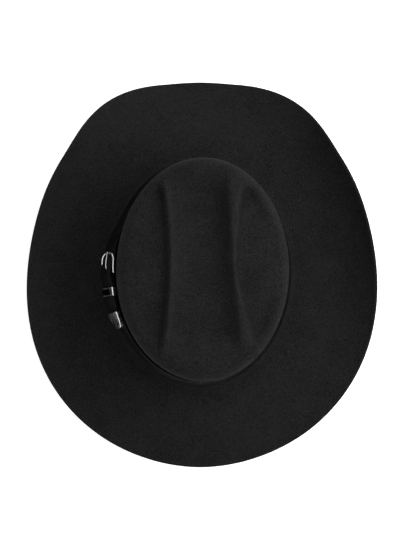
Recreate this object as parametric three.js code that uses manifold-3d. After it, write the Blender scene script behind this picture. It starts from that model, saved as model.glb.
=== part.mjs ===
// Western hat: black felt body with a creased crown and an upswept brim, a buckled leather band,
// and the sweatband and lining inside. Millimetres, +Z up, the wearer faces -Y, wearer's left is +X.
import * as THREE from "three";
import { mergeVertices } from "three/addons/utils/BufferGeometryUtils.js";
import Module from "manifold-3d";

const { clamp, degToRad, euclideanModulo, lerp, smoothstep } = THREE.MathUtils;
const SEGMENTS = 56; // facets once round the hat
const GAP = 0.3; // between neighbouring solids

// Felt. Heights here are above the brim's root, where the brim leaves the crown.
const FELT = 2.6;
const WALL_HALF_LENGTH = 105.5;
const WALL_HALF_WIDTH = 83;
const SHOULDER_HALF_LENGTH = 105;
const SHOULDER_HALF_WIDTH = 81.3;
const SHOULDER_HEIGHT = 79;
const SHOULDER_RADIUS = 9;
const ROOT_RADIUS = 14;

// Crown top: a low dome, one long crease between two ridges, and a dent outside each ridge. A
// ridge stands spread from the crease's middle, leans out to the rear and bows out to both ends.
// Its top is flat, top wide at the middle and flaring to both ends.
const DOME_HEIGHT = 105;
const SIDE_FALL = 20;
const END_FALL = 13;
const DOME_POWER = 2.5;
const CREASE_OFFSET = 2; // the crease sits a little to the wearer's left
const CREASE_DEPTH = 16;
const LEFT_RIDGE = { spread: 29, lean: 0.01, bow: 5, top: 0.6, flare: 0.02 };
const RIGHT_RIDGE = { spread: 29.8, lean: 0.085, bow: 1.5, top: 1.6, flare: 0.18 };
const PINCH_LENGTH = 12; // the tops stay narrow this far from their middles
const BOW_LENGTH = 75;
const DENT_FACE = 4.6; // width of the steep face that falls from a ridge into its dent
const DENT_DEPTH = 9.5;
const DENT_FADE = 26;
const RIM_START = 0.8; // beyond this share of the oval the dents fade out
const SOFTENING = 1.1; // spacing of the five samples that round off the ridges
const STEEPEST = 2.2;
// Where, front to rear, the crease and the dents deepen and where they fade out again.
const CREASE_START = [-98, -66];
const CREASE_FADE = [52, 98];
const DENT_START = [-86, -68];
const DENT_END = [48, 90];

// Rings of the crown top: some between the rim and the ridges' outer edges, the rest inside the
// ridges as [spread, length] pairs, the last two closing on the crease's middle line and midpoint.
const OUTER_RINGS = [0.8, 0.6, 0.42, 0.27, 0.15, 0.07, 0];
const INNER_RINGS = [[1, 81], [0.91, 78], [0.8, 74], [0.58, 67], [0.3, 58], [0, 50], [0, 0]];
const EDGE_LENGTH = 83;
const RING_CORNER = degToRad(30);

// Brim: width along the felt, and the slopes it takes in degrees.
const BRIM_WIDTH = 80.5;
const BRIM_SHIFT = 1.8; // the left brim is this much narrower and the right this much wider
const BRIM_STEPS = 50;
const BRIM_ROWS = [50, 48, 43, 36, 29, 22, 15, 7]; // steps out from the root, edge first
const FRONT_DIP = 24;
const REAR_DIP = 23.6;
const DIP_CHANGE = [60, 120]; // degrees from the front where one dip gives way to the other
const DIP_EASE = 0.3;
const SIDE_ROLL = 66.5;
const ROLL_POWER = 1.6;
const ROLL_RISE = [2, 51.9]; // degrees from the front between which the brim rolls up
const ROLL_FALL = [69.2, 176.1]; // and between which it comes down again
const REST_FLAT = 2.6; // the brim is pressed this far flat where it rests

// Hat band: a strap that leans in against the crown, its buckle on the wearer's left, where it
// stands further off. Reach and height are its foot's; SNUG is away from the buckle.
const STRAP_WIDTH = 14;
const STRAP_THICKNESS = 1.4;
const SKIVED = 0.9; // thinned where it folds round the heel bar
const SNUG = { lean: degToRad(20), reach: 5.6, height: 3.8 };
const AT_BUCKLE = { lean: degToRad(42), reach: 11.4, height: 2.4 };
const FLARE_START = [-60, -20]; // along the strap from the heel bar
const FLARE_END = [28, 66];
const STRAP_SCALE = 113; // millimetres of strap for each radian round the hat
const LOOP = 2 * Math.PI * STRAP_SCALE;
const FOLD_LENGTH = 7;
const STRAP_END = 50;
const SKIVE_END = [7, 11]; // where the strap comes back to its full thickness behind the bar
const FOLD_FALL = [1, 11]; // and where its middle comes down from the bar to the crown
const CLIMB = [-16, -2]; // where the overlapping end climbs on to the bar, and comes down again
const DESCENT = [2, 12];
const TIP_CLIMB = 36;
const TACK_PATH = [[11.8, 2.05], [12.8, 2.1], [14.2, 1.9], [14.9, 1.3], [15, 0.5]]; // across, out
const TACK_RADIUS = 0.35;

// Buckle set, placed along the strap from the heel bar, rearwards positive.
const BAR_HEIGHT = 1.95;
const BAR_RADIUS = 0.8;
const EYE_RADIUS = BAR_RADIUS + 0.25;
const FRAME_SPREAD = 8.3;
const FRAME_STRAIGHT = 12;
const FRAME_ROUND = 7.6;
const FRAME_RADIUS = 0.95;
const FRAME_HEIGHT = 2.65;
const PRONG_RADIUS = 0.65;
const PRONG_RING = 1.75;
const PRONG_WIDTH = 2.4;
const PRONG_PATH = [[-0.9, 3.2], [-3, 3.95], [-6, 4.75], [-9, 4.95], [-14, 4.75], [-20, 4.6]];
const EYE_SLOT = { x: [-3, 4.5], half: 1.8, z: [-0.5, 4.05] }; // in the fold, for the prong's ring
const PRONG_HOLE = { x: [-8.5, 0.5], half: 1.3, z: [1.5, 6.5] }; // in the overlap, for its arm
const KEEPER_START = 15.3;
const KEEPER_LENGTH = 8.5;
const KEEPER_WALL = 0.9;
const KEEPER_BACK = 0.6;
const TIP_START = 41;
const TIP_STRAIGHT = 9;
const TIP_POINT = 8.5;
const TIP_WALL = 0.8;
const TIP_HEIGHT = 3.5;

// Sweatband, reed, lining and bow. Offsets are outward from the crown wall's outer face.
const SWEAT_OFFSET = -4;
const SWEAT_THICKNESS = 1.1;
const SWEAT_FOOT = 1.8;
const SWEAT_TOP = 50;
const SWEAT_CURVE = [[1.5, SWEAT_FOOT], [-1.9, 6], [-3.5, 10], [SWEAT_OFFSET, 15]];
const REED_RADIUS = 0.8;
const REED_OFFSET = 2.2;
const REED_HEIGHT = -0.2;
const TAPE_INNER = 1.3;
const TAPE_OUTER = 1.6;
const LINING_OFFSET = -2.95;
const LINING_THICKNESS = 0.4;
const LINING_FOOT = 32;
const LINING_TOP = 73;
const TIP_SAG = 2;
const SHIELD_HALF_WIDTH = 34;
const SHIELD_HALF_LENGTH = 52;
const SHIELD_THICKNESS = 0.3;
const BOW_HEIGHT = 20;
const BOW_HALF_LENGTH = 13;
const BOW_HALF_WIDTH = 4.5;
const BOW_THICKNESS = 1.2;
const KNOT_RADIUS = 1.6;
const KNOT_LENGTH = 3;
const KNOT_FLATTENING = 0.6;

const wasm = await Module();
wasm.setup();

// ---- Solids -------------------------------------------------------------------------------

// The geometry with its vertices joined and its faces turned out. Triangles that have shrunk
// to nothing are left out, and so is a pair of triangles lying back to back.
function sealed(geometry) {
  geometry.deleteAttribute("normal");
  geometry.deleteAttribute("uv");
  const merged = mergeVertices(geometry, 1e-4);
  const kept = new Map();
  const index = merged.index.array;
  for (let i = 0; i < index.length; i += 3) {
    const triangle = index.slice(i, i + 3);
    const key = triangle.toSorted().join();
    if (new Set(triangle).size < 3) continue;
    if (!kept.delete(key)) kept.set(key, [...triangle]);
  }
  const corners = [...kept.values()].flat();
  merged.setIndex(corners);
  if (signedVolume(merged) < 0) merged.setIndex(corners.toReversed());
  return merged;
}

function signedVolume(geometry) {
  const { position } = geometry.attributes;
  const corner = (i) => new THREE.Vector3().fromBufferAttribute(position, geometry.index.getX(i));
  let volume = 0;
  for (let i = 0; i < geometry.index.count; i += 3) {
    volume += corner(i).dot(corner(i + 1).cross(corner(i + 2))) / 6;
  }
  return volume;
}

function toManifold(geometry) {
  return new wasm.Manifold(
    new wasm.Mesh({
      numProp: 3,
      vertProperties: geometry.attributes.position.array,
      triVerts: new Uint32Array(geometry.index.array),
    }),
  );
}

function fromManifold(solid) {
  const { vertProperties, triVerts } = solid.getMesh();
  const geometry = new THREE.BufferGeometry();
  geometry.setAttribute("position", new THREE.BufferAttribute(vertProperties, 3));
  geometry.setIndex(new THREE.BufferAttribute(triVerts, 1));
  return geometry;
}

const joined = (a, b) => fromManifold(toManifold(a).add(toManifold(b)));
const cut = (a, b) => fromManifold(toManifold(a).subtract(toManifold(b)));

// Moves every vertex of a geometry: place takes its point and returns the new one.
function reshaped(geometry, place) {
  const { position } = geometry.attributes;
  for (let i = 0; i < position.count; i++) {
    const p = place(new THREE.Vector3().fromBufferAttribute(position, i));
    position.setXYZ(i, p.x, p.y, p.z);
  }
  return sealed(geometry);
}

// A solid swept round the hat: section(turn) lists its outline, which closes on itself.
function sweptRound(section) {
  const count = section(0).length;
  const blank = Array.from({ length: count }, () => new THREE.Vector2(1, 0));
  const lathe = new THREE.LatheGeometry(blank, SEGMENTS);
  for (let i = 0; i <= SEGMENTS; i++) {
    const turn = ((i % SEGMENTS) * 2 * Math.PI) / SEGMENTS;
    section(turn).forEach((p, j) => {
      lathe.attributes.position.setXYZ(i * count + j, p.x, p.y, p.z);
    });
  }
  return sealed(lathe);
}

// A ring of constant outline, given as [offset, height] pairs beside the crown wall.
function ring(outline) {
  return sweptRound((turn) => [...outline, outline[0]].map(([d, z]) => wallPoint(turn, d, z)));
}

function roundBar(points, radius, steps, sides = 8) {
  const section = new THREE.Shape().setFromPoints(
    new THREE.Path().absarc(0, 0, radius, 0, 2 * Math.PI).getSpacedPoints(sides).slice(0, sides),
  );
  const extrudePath = new THREE.CatmullRomCurve3(points);
  return new THREE.ExtrudeGeometry(section, { steps, extrudePath, bevelEnabled: false });
}

// ---- The felt's shape ---------------------------------------------------------------------

// A point at an outward offset from the crown wall. Turn 0 is the front, a quarter turn the left.
function wallPoint(turn, offset, height) {
  const rise = clamp((height - ROOT_RADIUS) / (SHOULDER_HEIGHT - ROOT_RADIUS), 0, 1);
  const a = lerp(WALL_HALF_LENGTH, SHOULDER_HALF_LENGTH, rise);
  const b = lerp(WALL_HALF_WIDTH, SHOULDER_HALF_WIDTH, rise);
  const out = new THREE.Vector2(Math.sin(turn) / b, -Math.cos(turn) / a).normalize();
  const x = b * Math.sin(turn) + offset * out.x;
  const y = -a * Math.cos(turn) + offset * out.y;
  return new THREE.Vector3(x, y, height);
}

const ridgeAt = (x) => (x > CREASE_OFFSET ? LEFT_RIDGE : RIGHT_RIDGE);
const ridgeSpread = (y, { spread, lean, bow }) => spread + lean * y + bow * (y / BOW_LENGTH) ** 2;
const ridgeEdge = (y, ridge) =>
  ridgeSpread(y, ridge) + ridge.top + ridge.flare * (Math.hypot(y, PINCH_LENGTH) - PINCH_LENGTH);

function creasedTop(x, y) {
  const across = Math.abs(x - CREASE_OFFSET);
  const spread = ridgeSpread(y, ridgeAt(x));
  const pastEdge = across - ridgeEdge(y, ridgeAt(x));
  const creaseShare = smoothstep(y, ...CREASE_START) * (1 - smoothstep(y, ...CREASE_FADE));
  const edge = Math.hypot(x / SHOULDER_HALF_WIDTH, y / SHOULDER_HALF_LENGTH);
  const inside = 1 - smoothstep(edge, RIM_START, 1);
  const dentShare = smoothstep(y, ...DENT_START) * (1 - smoothstep(y, ...DENT_END)) * inside;
  const sideShare = edge > 0 ? (x / SHOULDER_HALF_WIDTH / edge) ** 2 : 0;
  const dome = DOME_HEIGHT - lerp(END_FALL, SIDE_FALL, sideShare) * edge ** DOME_POWER;
  if (across < spread) return dome - CREASE_DEPTH * creaseShare * (1 - (across / spread) ** 3);
  const inDent = Math.sin((Math.PI / 2) * clamp(pastEdge / DENT_FACE, 0, 1));
  const fade = Math.exp(-((Math.max(pastEdge - DENT_FACE, 0) / DENT_FADE) ** 2));
  return dome - DENT_DEPTH * dentShare * inDent * fade;
}

function crownTop(x, y) {
  const samples = [-2, -1, 0, 1, 2].map((k) => creasedTop(x + k * SOFTENING, y));
  return samples.reduce((sum, z) => sum + z, 0) / samples.length;
}

// The crown top's points at one turn, as [x, y] pairs from the rim in to the crease's middle.
function topPoints(turn) {
  const across = clamp(Math.sin(turn) / Math.sin(RING_CORNER), -1, 1);
  const along = clamp(Math.cos(turn) / Math.cos(RING_CORNER), -1, 1);
  const rimX = (SHOULDER_HALF_WIDTH - SHOULDER_RADIUS) * Math.sin(turn);
  const rimY = -(SHOULDER_HALF_LENGTH - SHOULDER_RADIUS) * Math.cos(turn);
  const ridge = ridgeAt(CREASE_OFFSET + across);
  const edgeY = -EDGE_LENGTH * along;
  const edgeX = CREASE_OFFSET + across * ridgeEdge(edgeY, ridge);
  return [
    ...OUTER_RINGS.map((share) => [lerp(edgeX, rimX, share), lerp(edgeY, rimY, share)]),
    ...INNER_RINGS.map(([spread, length]) => {
      const y = -length * along;
      return [CREASE_OFFSET + across * spread * ridgeSpread(y, ridge), y];
    }),
  ];
}

// How much deeper than its thickness the felt is, measured straight down.
function steepness(x, y) {
  const slopeX = (crownTop(x + 1, y) - crownTop(x - 1, y)) / 2;
  const slopeY = (crownTop(x, y + 1) - crownTop(x, y - 1)) / 2;
  return Math.min(Math.hypot(1, slopeX, slopeY), STEEPEST);
}

function brimSlope(turn, share) {
  const side = Math.abs(euclideanModulo(turn * THREE.MathUtils.RAD2DEG + 180, 360) - 180);
  const roll = smoothstep(side, ...ROLL_RISE) * (1 - smoothstep(side, ...ROLL_FALL));
  const dip = lerp(FRONT_DIP, REAR_DIP, smoothstep(side, ...DIP_CHANGE));
  const drop = (1 - roll) * dip * smoothstep(share, 0, DIP_EASE);
  return degToRad(roll * SIDE_ROLL * share ** ROLL_POWER - drop);
}

// The brim's upper face at one turn, from the root outwards.
function brimLine(turn) {
  const step = (BRIM_WIDTH - BRIM_SHIFT * Math.sin(turn)) / BRIM_STEPS;
  const line = [{ reach: ROOT_RADIUS, height: 0, slope: brimSlope(turn, 0) }];
  for (let i = 1; i <= BRIM_STEPS; i++) {
    const middle = brimSlope(turn, (i - 0.5) / BRIM_STEPS);
    line.push({
      reach: line[i - 1].reach + step * Math.cos(middle),
      height: line[i - 1].height + step * Math.sin(middle),
      slope: brimSlope(turn, i / BRIM_STEPS),
    });
  }
  return line;
}

const lowest = Math.max(...[0, Math.PI].map((turn) => brimLine(turn).at(-1).height));
const FLOOR = lowest - FELT * Math.cos(degToRad(FRONT_DIP)) + REST_FLAT;

// One face of the felt at one turn, from the brim's edge to the crown's middle.
function feltFace(turn, depth) {
  const face = [];
  const line = brimLine(turn);
  for (const step of BRIM_ROWS) {
    const { reach, height, slope } = line[step];
    const rest = depth ? FLOOR : FLOOR + FELT;
    const z = Math.max(height - depth * Math.cos(slope), rest);
    face.push(wallPoint(turn, reach + depth * Math.sin(slope), 0).setZ(z));
  }
  for (const angle of [0, 30, 60, 90].map(degToRad)) {
    const radius = ROOT_RADIUS + depth;
    const offset = ROOT_RADIUS - radius * Math.sin(angle);
    face.push(wallPoint(turn, offset, ROOT_RADIUS - radius * Math.cos(angle)));
  }
  const shoulder = [0, 30, 60, 90].map(degToRad).map((angle) => {
    const radius = SHOULDER_RADIUS - depth;
    const p = wallPoint(turn, radius * Math.cos(angle) - SHOULDER_RADIUS, SHOULDER_HEIGHT);
    const sink = SHOULDER_RADIUS - radius * Math.sin(angle);
    return p.setZ(crownTop(p.x, p.y) - sink - depth * (steepness(p.x, p.y) - 1));
  });
  face.push(wallPoint(turn, -depth, lerp(ROOT_RADIUS, shoulder[0].z, 0.5)), ...shoulder);
  for (const [x, y] of topPoints(turn)) {
    face.push(new THREE.Vector3(x, y, crownTop(x, y) - depth * steepness(x, y)));
  }
  return face;
}

const feltBody = () =>
  sweptRound((turn) => {
    const outer = feltFace(turn, 0);
    return [...outer, ...feltFace(turn, FELT).toReversed(), outer[0]];
  });

// ---- The hat band -------------------------------------------------------------------------

// Lays a point of the flat strap on the hat: x along it, y across it from its foot, z outwards.
function onStrap({ x, y, z }) {
  const around = euclideanModulo(x + LOOP / 2, LOOP) - LOOP / 2;
  const near = smoothstep(around, ...FLARE_START) * (1 - smoothstep(around, ...FLARE_END));
  const lean = lerp(SNUG.lean, AT_BUCKLE.lean, near);
  const reach = lerp(SNUG.reach, AT_BUCKLE.reach, near);
  const foot = lerp(SNUG.height, AT_BUCKLE.height, near);
  const offset = reach - y * Math.sin(lean) + z * Math.cos(lean);
  const height = foot + y * Math.cos(lean) + z * Math.sin(lean);
  return wallPoint(Math.PI / 2 + x / STRAP_SCALE, offset, 0).setZ(height);
}

// A flat bar along the strap. Each station is {x, z, thick, low, high}, with z at its middle.
function flatBar(stations, chamfer = 0) {
  const c = chamfer;
  const corners = c
    ? [[c, 0], [1 - c, 0], [1, c], [1, 1 - c], [1 - c, 1], [c, 1], [0, 1 - c], [0, c]]
    : [[0, 0], [1, 0], [1, 1], [0, 1]];
  const section = new THREE.Shape(corners.map(([u, v]) => new THREE.Vector2(u, v)));
  const steps = stations.length - 1;
  const blank = new THREE.ExtrudeGeometry(section, { depth: steps, steps, bevelEnabled: false });
  return reshaped(blank, (p) => {
    const i = Math.round(p.z);
    const station = stations[i];
    const before = stations[Math.max(i - 1, 0)];
    const after = stations[Math.min(i + 1, steps)];
    const along = new THREE.Vector2(after.x - before.x, after.z - before.z).normalize();
    const out = (p.x - 0.5) * station.thick;
    const y = lerp(station.low, station.high, p.y);
    return onStrap({ x: station.x - along.y * out, y, z: station.z + along.x * out });
  });
}

function strapBox(x0, x1, y0, y1, z0, z1) {
  const box = new THREE.BoxGeometry(x1 - x0, y1 - y0, z1 - z0);
  box.translate((x0 + x1) / 2, (y0 + y1) / 2, (z0 + z1) / 2);
  return reshaped(box, onStrap);
}

const steps = (from, to, count) =>
  Array.from({ length: count + 1 }, (_, i) => lerp(from, to, i / count));

// Middle height of the strap's overlapping end, over the heel bar and into the tip.
function billetHeight(x) {
  const flat = STRAP_THICKNESS / 2;
  const overBar = BAR_HEIGHT + EYE_RADIUS + SKIVED + GAP + flat;
  const overStrap = STRAP_THICKNESS + GAP + flat;
  if (x < 0) return lerp(flat, overBar, smoothstep(x, ...CLIMB));
  if (x < TIP_CLIMB) return lerp(overBar, overStrap, smoothstep(x, ...DESCENT));
  return lerp(overStrap, TIP_HEIGHT, smoothstep(x, TIP_CLIMB, TIP_START));
}

// The strap's middle line: the fold at the heel bar, once round the crown, then the overlap.
function strapStations() {
  const whole = { thick: STRAP_THICKNESS, low: 0, high: STRAP_WIDTH };
  const thin = { ...whole, thick: SKIVED };
  const bend = EYE_RADIUS + SKIVED / 2;
  const top = BAR_HEIGHT + bend;
  const fold = [FOLD_LENGTH, FOLD_LENGTH / 2].map((x) => ({ ...thin, x, z: SKIVED / 2 }));
  const eye = steps(-90, -270, 8).map(degToRad).map((angle) => {
    return { ...thin, x: bend * Math.cos(angle), z: BAR_HEIGHT + bend * Math.sin(angle) };
  });
  const fall = steps(2, 11, 5).map((x) => ({
    ...whole,
    x,
    z: lerp(top, STRAP_THICKNESS / 2, smoothstep(x, ...FOLD_FALL)),
    thick: lerp(SKIVED, STRAP_THICKNESS, smoothstep(x, ...SKIVE_END)),
  }));
  const run = steps(18, LOOP - 20, 70).map((x) => ({ ...whole, x, z: STRAP_THICKNESS / 2 }));
  const overlap = steps(-17, STRAP_END, 28).map((x) => ({
    ...whole,
    x: LOOP + x,
    z: billetHeight(x),
  }));
  return [...fold, ...eye, ...fall, ...run, ...overlap];
}

function hatBand() {
  const [eyeSlot, prongHole] = [EYE_SLOT, PRONG_HOLE].map(({ x, half, z }) =>
    strapBox(...x, STRAP_WIDTH / 2 - half, STRAP_WIDTH / 2 + half, ...z),
  );
  return cut(cut(flatBar(strapStations()), eyeSlot), prongHole);
}

// A small stitch over the strap's upper edge, which holds the band on the felt.
function bandTack(x) {
  const points = TACK_PATH.map(([y, z]) => new THREE.Vector3(x, y, z));
  return reshaped(roundBar(points, TACK_RADIUS, 8, 6), onStrap);
}

// ---- The buckle set -----------------------------------------------------------------------

const heelBar = (radius, half, sides = 16) =>
  new THREE.CylinderGeometry(radius, radius, 2 * half, sides).translate(
    0,
    STRAP_WIDTH / 2,
    BAR_HEIGHT,
  );

function buckleFrame() {
  const middle = STRAP_WIDTH / 2;
  const round = steps(-90, 90, 8).map(degToRad).map((angle) => new THREE.Vector3(
    -FRAME_STRAIGHT - FRAME_ROUND * Math.cos(angle),
    middle + FRAME_SPREAD * Math.sin(angle),
    FRAME_HEIGHT,
  ));
  const side = (sign) => [
    new THREE.Vector3(0, middle + sign * FRAME_SPREAD, BAR_HEIGHT),
    new THREE.Vector3(-FRAME_STRAIGHT / 2, middle + sign * FRAME_SPREAD, FRAME_HEIGHT - 0.2),
  ];
  const bow = roundBar([...side(-1), ...round, ...side(1).toReversed()], FRAME_RADIUS, 36);
  const bar = heelBar(BAR_RADIUS, FRAME_SPREAD);
  return joined(reshaped(bow, onStrap), reshaped(bar, onStrap));
}

function buckleProng() {
  const section = new THREE.Shape().absarc(0, 0, PRONG_RING, 0, 2 * Math.PI);
  section.holes.push(new THREE.Path().absarc(0, 0, EYE_RADIUS, 0, 2 * Math.PI, true));
  const ringShape = new THREE.ExtrudeGeometry(section, {
    depth: PRONG_WIDTH,
    curveSegments: 14,
    bevelEnabled: false,
  });
  ringShape.rotateX(Math.PI / 2);
  ringShape.translate(0, (STRAP_WIDTH + PRONG_WIDTH) / 2, BAR_HEIGHT);
  const points = PRONG_PATH.map(([x, z]) => new THREE.Vector3(x, STRAP_WIDTH / 2, z));
  const arm = roundBar(points, PRONG_RADIUS, 14);
  return joined(reshaped(arm, onStrap), reshaped(ringShape, onStrap));
}

function bandKeeper() {
  const top = 2 * STRAP_THICKNESS + 2 * GAP;
  const box = (grow, below, above) =>
    [
      [-GAP - grow, -GAP - below],
      [STRAP_WIDTH + GAP + grow, -GAP - below],
      [STRAP_WIDTH + GAP + grow, top + above],
      [-GAP - grow, top + above],
    ].map(([u, v]) => new THREE.Vector2(u, v));
  const section = new THREE.Shape(box(KEEPER_WALL, KEEPER_BACK, KEEPER_WALL));
  section.holes.push(new THREE.Path(box(0, 0, 0)));
  const loop = new THREE.ExtrudeGeometry(section, {
    depth: KEEPER_LENGTH,
    steps: 4,
    bevelEnabled: false,
  });
  return reshaped(loop, (p) => onStrap({ x: KEEPER_START + p.z, y: p.x, z: p.y }));
}

function bandTip() {
  const middle = STRAP_WIDTH / 2;
  const half = middle + GAP + TIP_WALL;
  const thick = STRAP_THICKNESS + 2 * GAP + 2 * TIP_WALL;
  const straight = steps(0, TIP_STRAIGHT, 4).map((x) => ({ x, half }));
  const point = steps(0, 84, 7).slice(1).map(degToRad).map((angle) => ({
    x: TIP_STRAIGHT + TIP_POINT * Math.sin(angle),
    half: half * Math.cos(angle),
  }));
  const shell = [...straight, ...point].map((p) => ({
    x: TIP_START + p.x,
    z: TIP_HEIGHT,
    thick,
    low: middle - p.half,
    high: middle + p.half,
  }));
  const pocket = steps(TIP_START - 1, STRAP_END + 0.5, 5).map((x) => ({
    x,
    z: TIP_HEIGHT,
    thick: STRAP_THICKNESS + 2 * GAP,
    low: -GAP,
    high: STRAP_WIDTH + GAP,
  }));
  return cut(flatBar(shell, 0.2), flatBar(pocket));
}

// ---- Inside the hat -----------------------------------------------------------------------

function sweatband() {
  const outer = [...SWEAT_CURVE, [SWEAT_OFFSET, SWEAT_TOP]];
  return ring([...outer, ...outer.map(([d, z]) => [d - SWEAT_THICKNESS, z]).toReversed()]);
}

const arcPoints = (radius, from, to, count) =>
  steps(from, to, count).map(degToRad).map((angle) => [
    REED_OFFSET + radius * Math.cos(angle),
    REED_HEIGHT + radius * Math.sin(angle),
  ]);

const sweatbandReed = () => ring(arcPoints(REED_RADIUS, 0, 300, 5));

// The tape wraps the reed, with its slit towards the sweatband's lower edge.
const reedTape = () =>
  ring([...arcPoints(TAPE_OUTER, 150, 430, 5), ...arcPoints(TAPE_INNER, 430, 150, 5)]);

const liningSide = () => {
  const inner = LINING_OFFSET - LINING_THICKNESS;
  const heights = [LINING_FOOT, LINING_TOP];
  return ring([
    ...heights.map((z) => [LINING_OFFSET, z]),
    ...heights.toReversed().map((z) => [inner, z]),
  ]);
};

// A thin domed sheet under the crown, as a share of the hat's inside oval.
function domedSheet(halfLength, halfWidth, height, thickness) {
  const shares = [1, 0.7, 0.35, 0];
  return sweptRound((turn) => {
    const face = (low) =>
      shares.map((share) => {
        const x = halfWidth * share * Math.sin(turn);
        const y = -halfLength * share * Math.cos(turn);
        const edge = Math.hypot(x / SHOULDER_HALF_WIDTH, y / SHOULDER_HALF_LENGTH);
        return new THREE.Vector3(x, y, height + TIP_SAG * (1 - edge ** 2) - low);
      });
    const upper = face(0);
    return [...upper, ...face(thickness).toReversed(), upper[0]];
  });
}

const tipInset = -LINING_OFFSET + LINING_THICKNESS + 2 * GAP;
const liningTip = () =>
  domedSheet(
    SHOULDER_HALF_LENGTH - tipInset,
    SHOULDER_HALF_WIDTH - tipInset,
    LINING_TOP - 1,
    LINING_THICKNESS,
  );
const liningShield = () =>
  domedSheet(
    SHIELD_HALF_LENGTH,
    SHIELD_HALF_WIDTH,
    LINING_TOP - 1 - LINING_THICKNESS - GAP,
    SHIELD_THICKNESS,
  );

// The ribbon bow at the rear joint of the sweatband: x along the band, y up, z inwards.
function onSweatband({ x, y, z }) {
  const offset = SWEAT_OFFSET - SWEAT_THICKNESS - 2 * GAP - z;
  return wallPoint(Math.PI - x / WALL_HALF_WIDTH, offset, y);
}

function bowLoops() {
  const half = BOW_HALF_LENGTH;
  const tall = BOW_HALF_WIDTH;
  const outline = new THREE.Shape();
  outline.moveTo(0, -1.2);
  outline.bezierCurveTo(4, -1.5, 8, -tall, half, -tall);
  outline.quadraticCurveTo(half + 1.5, 0, half, tall);
  outline.bezierCurveTo(8, tall, 4, 1.5, 0, 1.2);
  outline.bezierCurveTo(-4, 1.5, -8, tall, -half, tall);
  outline.quadraticCurveTo(-half - 1.5, 0, -half, -tall);
  outline.bezierCurveTo(-8, -tall, -4, -1.5, 0, -1.2);
  const bow = new THREE.ExtrudeGeometry(outline, {
    depth: BOW_THICKNESS,
    curveSegments: 5,
    bevelEnabled: false,
  });
  return reshaped(bow.translate(0, BOW_HEIGHT, 0), onSweatband);
}

function bowKnot() {
  const knot = new THREE.CapsuleGeometry(KNOT_RADIUS, KNOT_LENGTH, 4, 10);
  const out = BOW_THICKNESS + GAP + KNOT_RADIUS * KNOT_FLATTENING;
  knot.scale(1.3, 1, KNOT_FLATTENING).translate(0, BOW_HEIGHT, out);
  return reshaped(knot, onSweatband);
}

// ---- Assembly -----------------------------------------------------------------------------

const BLACK_FELT = [0x17171a, 0.95, 0];
const BLACK_LEATHER = [0x121213, 0.5, 0];
const SILVER = [0xc9c6c0, 0.22, 1];
const TAN_LEATHER = [0x2a1c14, 0.55, 0];
const SATIN = [0x1b1b1f, 0.35, 0];
const RIBBON = [0x141416, 0.5, 0];
const PLASTIC = [0xd8dce0, 0.15, 0];
const THREAD = [0x101011, 0.8, 0];

const pieces = [
  ["felt_body", feltBody(), BLACK_FELT],
  ["hat_band", hatBand(), BLACK_LEATHER],
  ["buckle_frame", buckleFrame(), SILVER],
  ["buckle_prong", buckleProng(), SILVER],
  ["band_keeper", bandKeeper(), SILVER],
  ["band_tip", bandTip(), SILVER],
  ["sweatband", sweatband(), TAN_LEATHER],
  ["sweatband_reed", sweatbandReed(), PLASTIC],
  ["reed_tape", reedTape(), RIBBON],
  ["bow_loops", bowLoops(), RIBBON],
  ["bow_knot", bowKnot(), RIBBON],
  ["lining_side", liningSide(), SATIN],
  ["lining_tip", liningTip(), SATIN],
  ["lining_shield", liningShield(), PLASTIC],
  ["band_tack_rear", bandTack(LOOP / 4), THREAD],
  ["band_tack_right", bandTack(LOOP / 2), THREAD],
  ["band_tack_front", bandTack((3 * LOOP) / 4), THREAD],
];

const hat = new THREE.Group();
for (const [name, geometry, [color, roughness, metalness]] of pieces) {
  const material = new THREE.MeshStandardMaterial({ color, roughness, metalness });
  const mesh = new THREE.Mesh(geometry, material);
  mesh.name = name;
  hat.add(mesh);
}

// The origin is on the surface that the hat rests on, under the middle of its brim.
const extent = new THREE.Box3().setFromObject(hat);
const middle = extent.getCenter(new THREE.Vector3());
hat.position.set(-middle.x, -middle.y, -extent.min.z);

export default hat;
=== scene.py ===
"""Black felt cowboy hat: the looks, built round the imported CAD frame.

Lengths are in millimetres until a mesh is made, and in metres in materials, lights and the camera.
"""
import math

import bmesh
import bpy
import numpy as np
from mathutils import Matrix, Vector


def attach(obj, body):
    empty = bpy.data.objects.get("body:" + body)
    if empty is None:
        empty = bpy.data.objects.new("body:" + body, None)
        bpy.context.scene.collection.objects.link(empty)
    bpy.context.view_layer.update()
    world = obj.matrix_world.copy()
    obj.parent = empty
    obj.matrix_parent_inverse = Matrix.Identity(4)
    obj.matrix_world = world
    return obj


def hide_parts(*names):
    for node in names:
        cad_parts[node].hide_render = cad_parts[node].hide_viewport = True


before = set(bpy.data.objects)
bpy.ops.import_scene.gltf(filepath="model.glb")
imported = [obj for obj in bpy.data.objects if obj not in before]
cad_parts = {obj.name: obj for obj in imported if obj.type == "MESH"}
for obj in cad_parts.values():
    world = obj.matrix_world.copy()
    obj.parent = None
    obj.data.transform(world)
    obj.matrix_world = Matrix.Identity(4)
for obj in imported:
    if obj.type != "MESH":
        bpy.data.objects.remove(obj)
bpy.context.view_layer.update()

# ---- The hat's sizes, the same as the CAD's -------------------------------------------------

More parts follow.
